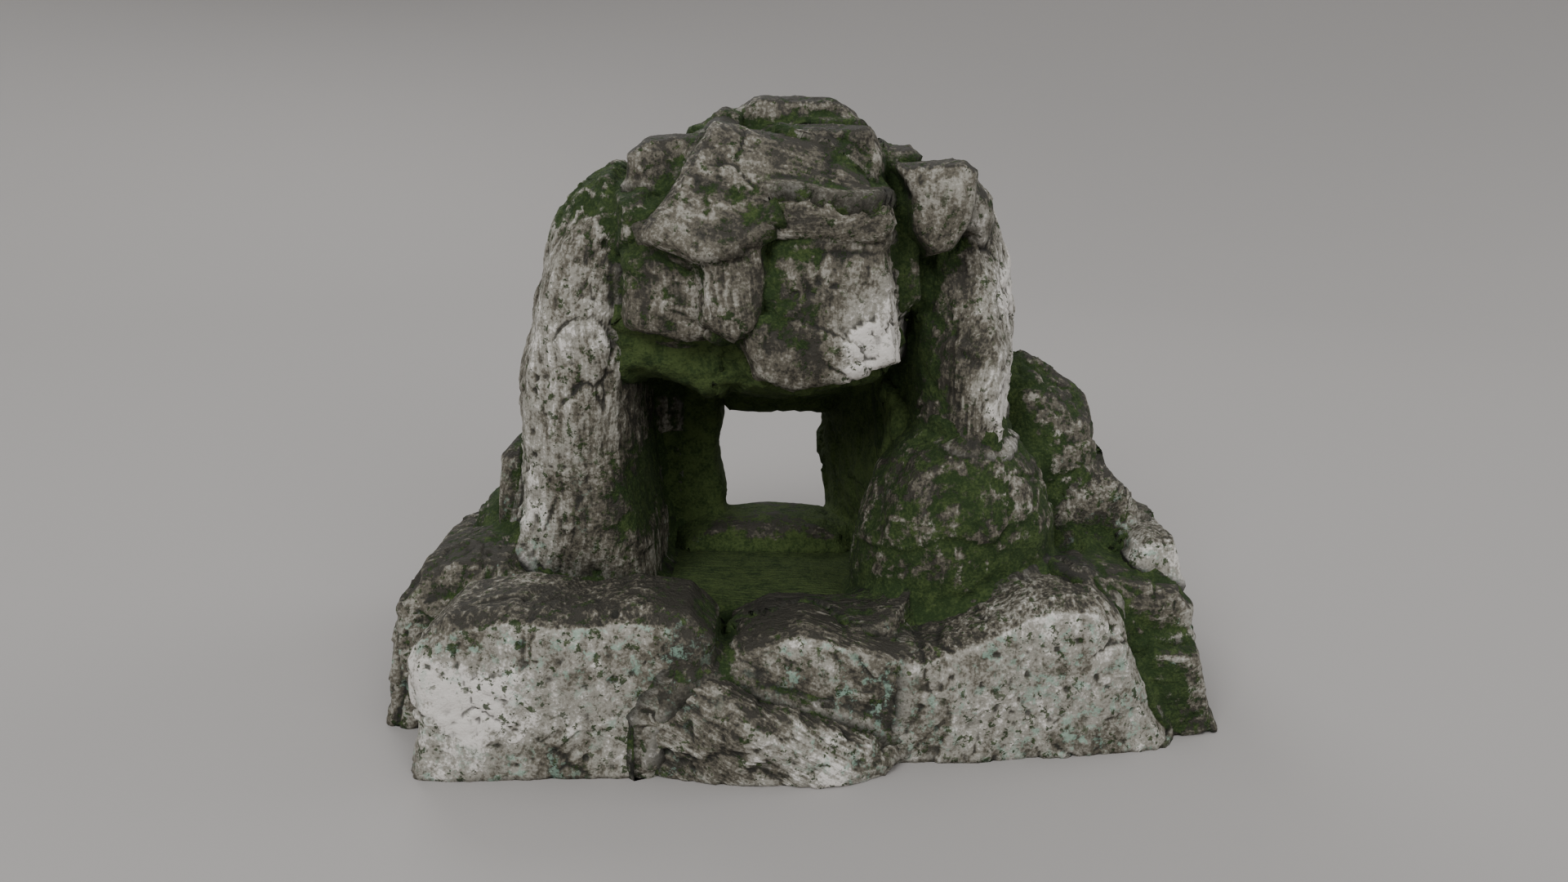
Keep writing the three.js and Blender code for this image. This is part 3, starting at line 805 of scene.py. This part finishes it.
def rock_finish(name, paint, tone, moss, fresh):
    """Painted rock. Its tone is the sum of its own level, bleach, broad, middling and fine mottling, worn
    ribs and bedding, less painted shade in hollows (which leaves the crests lighter) and less on top, and
    picks a paint from dark earth to chalk. Over it go lichen crusts low down, painted shade (a near-black
    laid into hollows, into the seams between rocks and into sheltered depths, where shade falls), and moss
    where the rock is green, deep in shelter, in a seam or unbleached, broken up by patches and tufts, and
    the lighter the fresher."""
    finish = Finish(name)
    hollows, depth, seam = (finish.attribute(key) for key in ("hollows", "depth", "seam"))
    bleach, green = finish.attribute("bleach"), finish.attribute("green")
    ribs, banding = finish.attribute("ribs"), finish.attribute("banding")
    top = finish.attribute("level").ramp(0.42, 0.8)
    streaks = finish.noise(1.5, 4.0, 0.6, finish.attribute("bedding", "Vector"))
    banding = (banding + 1.1 * top) * (streaks - 0.5)
    broad, mottle = finish.noise(22, 3.0, 0.55), finish.noise(6, 6.0, 0.66)
    fine = finish.noise(1.1, 3.0, 0.6)
    # painted shade: the tone drops in hollows and rises on crests through the -0.2 * hollows term
    tone = (tone + 0.35 * bleach + 1.2 * (broad - 0.5) + 0.9 * (mottle - 0.5) + 1.0 * (fine - 0.5)
            + 0.12 * (ribs - 0.8) - 0.2 * hollows + 1.3 * banding - 0.32 * top).clamp()
    colour = paint.dark_earth
    for low, high, lighter in TONES:
        colour = finish.mix(tone.ramp(low, high), colour, getattr(paint, lighter))
    height = finish.node("ShaderNodeSeparateXYZ", {}, {"Vector": finish.place}, "Z")
    low = 1 - height.ramp(*CRUST_FADE)
    crust = (finish.noise(5, 5.0, 0.75) - 0.3 * green - 0.15 * top).ramp(0.53, 0.62)
    crust = crust * finish.noise(35, 2.0).ramp(0.4, 0.56) * low
    colour = finish.mix(crust * 0.6, colour, paint.lichen)
    # painted shade: hollows, seams between rocks and sheltered depths are darkened towards near-black, where
    # shade falls
    painted_shade = (hollows.ramp(0.15, 0.9) * 0.75 + seam.ramp(0.06, 0.4) * 0.8 + depth.ramp(0.3, 0.6) * 0.6)
    colour = finish.mix(painted_shade.clamp(), colour, paint.painted_shade_tint)
    patches = finish.noise(8, 6.0, 0.75)
    tufts = finish.noise(3.2, 3.0, 0.7).ramp(0.56, 0.63) * finish.noise(20, 2.0).ramp(0.36, 0.52)
    damp = (moss + 1.1 * green + 0.1 * top + 1.2 * (depth - 0.2) + 0.8 * seam + 0.2 * hollows
            + 2.0 * (patches - 0.5) - 0.4 * bleach)
    grown = (damp.ramp(0.5, 0.72) + tufts * 0.9).clamp()
    leaf = finish.mix((mottle + 0.8 * (fine - 0.5) + fresh).ramp(0.36, 0.82), paint.deep_moss, paint.moss)
    colour = finish.mix(grown, colour, leaf)
    grain = 0.5 * fine + 0.3 * mottle + 1.2 * banding + 0.5 * grown * finish.noise(0.8, 2.0)
    bump = finish.node("ShaderNodeBump", {}, {"Strength": 0.9, "Distance": 1.0 * MM, "Height": grain})
    rough = 0.72 + 0.2 * grown - 0.12 * (fine - 0.5)
    shader = finish.node("ShaderNodeBsdfPrincipled", {}, {
        "Base Color": colour, "Roughness": rough.clamp(), "Normal": bump, "Specular IOR Level": 0.35})
    finish.node("ShaderNodeOutputMaterial", {}, {"Surface": shader})
    return finish.material


FINISHES = {  # slot: (name, tone, moss, freshness of the moss)
    "pale_rock": ("Pale limestone paint", 0.29, 0.18, 0.0),
    "weathered_rock": ("Weathered brown paint", 0.16, 0.33, 0.0),
    "mossy_rock": ("Mossed rock paint", 0.2, 0.45, 0.0),
    "dark_rock": ("Dark banded paint", 0.04, 0.16, 0.0),
    "cave_moss": ("Cave moss paint", 0.2, 0.3, 0.14),
}


def finish_for(slot, paint):
    """The material of a slot, made when it is first asked for."""
    name, *levels = FINISHES[slot]
    return bpy.data.materials.get(name) or rock_finish(name, paint, *levels)


def slot_of(name):
    """The material slot that a CAD node is painted from."""
    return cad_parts[name].data.materials[0].name.split(".")[0]


# Operators -----------------------------------------------------------------------------------------

def build_rocks(context, rocks):
    """Carves each rock of a table, paints it and lets it stand for its CAD node."""
    order = list(ALL_ROCKS)
    for name in rocks:
        mesh = carve(name, 100 * order.index(name) + 7, context.scene.ornament_shape)
        piece = bpy.data.objects.new(mesh.name, mesh)
        context.scene.collection.objects.link(piece)
        slot = slot_of(name)
        mesh.materials.append(finish_for(slot, context.scene.ornament_colours))
        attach(piece, "root")
        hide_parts(name)
    return {"FINISHED"}


class ORNAMENT_OT_plinth(bpy.types.Operator):
    """Carve the hollow base that every rock stands on"""

    bl_idname = "ornament.plinth"
    bl_label = "Plinth"

    def execute(self, context):
        return build_rocks(context, PLINTH)


class ORNAMENT_OT_base_course(bpy.types.Operator):
    """Carve the slabs and boulders along the front of the base"""

    bl_idname = "ornament.base_course"
    bl_label = "Base course"

    def execute(self, context):
        return build_rocks(context, BASE_COURSE)


class ORNAMENT_OT_outer_rocks(bpy.types.Operator):
    """Carve the rocks that step up at either side"""

    bl_idname = "ornament.outer_rocks"
    bl_label = "Outer rocks"

    def execute(self, context):
        return build_rocks(context, OUTER_ROCKS)


class ORNAMENT_OT_uprights(bpy.types.Operator):
    """Carve the two pillars and the boulder at the cave's mouth"""

    bl_idname = "ornament.uprights"
    bl_label = "Uprights"

    def execute(self, context):
        return build_rocks(context, UPRIGHTS)


class ORNAMENT_OT_cave_rocks(bpy.types.Operator):
    """Carve the floor, walls and roof of the cave"""

    bl_idname = "ornament.cave_rocks"
    bl_label = "Cave rocks"

    def execute(self, context):
        return build_rocks(context, CAVE_ROCKS)


class ORNAMENT_OT_lintel_rocks(bpy.types.Operator):
    """Carve the blocks that bridge the pillars"""

    bl_idname = "ornament.lintel_rocks"
    bl_label = "Lintel rocks"

    def execute(self, context):
        return build_rocks(context, LINTEL_ROCKS)


class ORNAMENT_OT_crown_rocks(bpy.types.Operator):
    """Carve the blocks piled on the lintel"""

    bl_idname = "ornament.crown_rocks"
    bl_label = "Crown rocks"

    def execute(self, context):
        return build_rocks(context, CROWN_ROCKS)


class ORNAMENT_OT_rear_rocks(bpy.types.Operator):
    """Carve the rocks at the back"""

    bl_idname = "ornament.rear_rocks"
    bl_label = "Rear rocks"

    def execute(self, context):
        return build_rocks(context, REAR_ROCKS)


LAMPS = (  # name, the power it takes, its share of that, width of its disc and its place, m
    ("key_light", "key_power", 1.0, 1.1, (-0.9, -1.7, 1.45)),
    ("fill_light", "fill_power", 1.0, 1.2, (1.2, -1.8, 1.3)),
    ("back_light", "fill_power", 1.0, 1.2, (-0.9, 1.7, 1.7)),
    ("side_light", "fill_power", 0.6, 1.2, (1.9, 0.6, 1.4)),
)
LIT = (0.0, 0.0, 0.1)  # where the lamps point, m
SKY_TINT = (0.98, 0.99, 1.0, 1)
FLOOR_BEND, FLOOR_WALL = 2.5, 0.5  # radius of the floor's upward turn and height of the wall above, m
FLOOR_STEPS, FLOOR_SPOKES = 24, 96
SENSOR = 36  # width of the camera's sensor, mm
CLOSEST, FURTHEST = 0.01, 20  # range of the camera, m


def floor_finish(tint):
    """Matte card with a faint cloudiness."""
    finish = Finish("Studio card")
    cloud = finish.noise(600, 2.0)
    colour = finish.mix(cloud, tuple(0.97 * c for c in tint), tint)
    shader = finish.node("ShaderNodeBsdfPrincipled", {}, {
        "Base Color": colour, "Roughness": 0.9, "Specular IOR Level": 0.1})
    finish.node("ShaderNodeOutputMaterial", {}, {"Surface": shader})
    return finish.material


def aim(item, position, target):
    """Puts a lamp or camera at a place, looking at a target, with its top upwards."""
    item.location = position
    gaze = item.location - Vector(target)
    item.rotation_euler = gaze.to_track_quat("Z", "Y").to_euler()


class ORNAMENT_OT_studio(bpy.types.Operator):
    """Set the floor that turns up into a backdrop all round, soft lights and the camera"""

    bl_idname = "ornament.studio"
    bl_label = "Studio"

    def execute(self, context):
        studio = context.scene.ornament_studio
        self.floor(context, studio)
        self.lights(context, studio)
        self.camera(context, studio)
        return {"FINISHED"}

    def floor(self, context, studio):
        """A profile turned about the middle: level out to the radius, a quarter circle up, then a wall."""
        turn = np.linspace(0, math.pi / 2, FLOOR_STEPS)
        out = np.concatenate([[0.0], studio.floor_radius + FLOOR_BEND * np.sin(turn),
                              [studio.floor_radius + FLOOR_BEND]])
        up = np.concatenate([[0.0], FLOOR_BEND * (1 - np.cos(turn)), [FLOOR_BEND + FLOOR_WALL]])
        ring = np.arange(FLOOR_SPOKES)
        around = ring * math.tau / FLOOR_SPOKES
        grid = np.stack([out[:, None] * np.cos(around), out[:, None] * np.sin(around),
                         up[:, None] + 0 * around], -1)
        start = np.arange(len(out) - 1)[:, None] * FLOOR_SPOKES
        following = (ring + 1) % FLOOR_SPOKES
        faces = np.stack([start + ring, start + FLOOR_SPOKES + ring, start + FLOOR_SPOKES + following,
                          start + following], -1).reshape(-1, 4)
        mesh = bpy.data.meshes.new("studio_floor")
        mesh.from_pydata(grid.reshape(-1, 3).tolist(), [], faces.tolist())
        mesh.polygons.foreach_set("use_smooth", np.ones(len(faces), bool))
        mesh.materials.append(floor_finish(tuple(studio.floor)))
        card = bpy.data.objects.new("studio_floor", mesh)
        context.scene.collection.objects.link(card)

    def lights(self, context, studio):
        """Soft discs that light the ornament and stay out of the picture, and an even sky."""
        for name, power, share, size, place in LAMPS:
            data = bpy.data.lights.new(name, "AREA")
            data.shape, data.size, data.energy = "DISK", size, share * getattr(studio, power)
            lamp = bpy.data.objects.new(name, data)
            lamp.visible_camera = False
            context.scene.collection.objects.link(lamp)
            aim(lamp, place, LIT)
        world = bpy.data.worlds.new("studio_sky")
        world.use_nodes = True
        sky = world.node_tree.nodes["Background"]
        sky.inputs["Color"].default_value = SKY_TINT
        sky.inputs["Strength"].default_value = studio.sky
        context.scene.world = world

    def camera(self, context, studio):
        """The camera stands in front, above the floor plane by its elevation."""
        data = bpy.data.cameras.new("camera")
        data.lens, data.sensor_width = studio.lens, SENSOR
        data.clip_start, data.clip_end = CLOSEST, FURTHEST
        eye = bpy.data.objects.new("camera", data)
        context.scene.collection.objects.link(eye)
        back = Vector((0, -math.cos(studio.elevation), math.sin(studio.elevation)))
        aim(eye, Vector(studio.target) + back * studio.distance, studio.target)
        context.scene.camera = eye


class ORNAMENT_PT_panel(bpy.types.Panel):
    """The ornament's settings and the operators that build it"""

    bl_idname = "ORNAMENT_PT_panel"
    bl_label = "Rock cave ornament"
    bl_space_type = "VIEW_3D"
    bl_region_type = "UI"
    bl_category = "Ornament"

    def draw(self, context):
        for settings in (context.scene.ornament_shape, context.scene.ornament_colours,
                         context.scene.ornament_studio):
            box = self.layout.box()
            for key in settings.__annotations__:
                box.prop(settings, key)
        for operator in OPERATORS:
            self.layout.operator(operator.bl_idname)


OPERATORS = (ORNAMENT_OT_studio, ORNAMENT_OT_plinth, ORNAMENT_OT_base_course, ORNAMENT_OT_outer_rocks,
             ORNAMENT_OT_uprights, ORNAMENT_OT_cave_rocks, ORNAMENT_OT_lintel_rocks,
             ORNAMENT_OT_crown_rocks, ORNAMENT_OT_rear_rocks)
CLASSES = (OrnamentShape, OrnamentColours, OrnamentStudio, *OPERATORS, ORNAMENT_PT_panel)


def register():
    for item in CLASSES:
        bpy.utils.register_class(item)
    bpy.types.Scene.ornament_shape = bpy.props.PointerProperty(type=OrnamentShape)
    bpy.types.Scene.ornament_colours = bpy.props.PointerProperty(type=OrnamentColours)
    bpy.types.Scene.ornament_studio = bpy.props.PointerProperty(type=OrnamentStudio)


def unregister():
    del bpy.types.Scene.ornament_studio, bpy.types.Scene.ornament_colours, bpy.types.Scene.ornament_shape
    for item in reversed(CLASSES):
        bpy.utils.unregister_class(item)


def main():
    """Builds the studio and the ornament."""
    register()
    for operator in OPERATORS:
        group, name = operator.bl_idname.split(".")
        getattr(getattr(bpy.ops, group), name)()


if __name__ == "__main__":
    main()
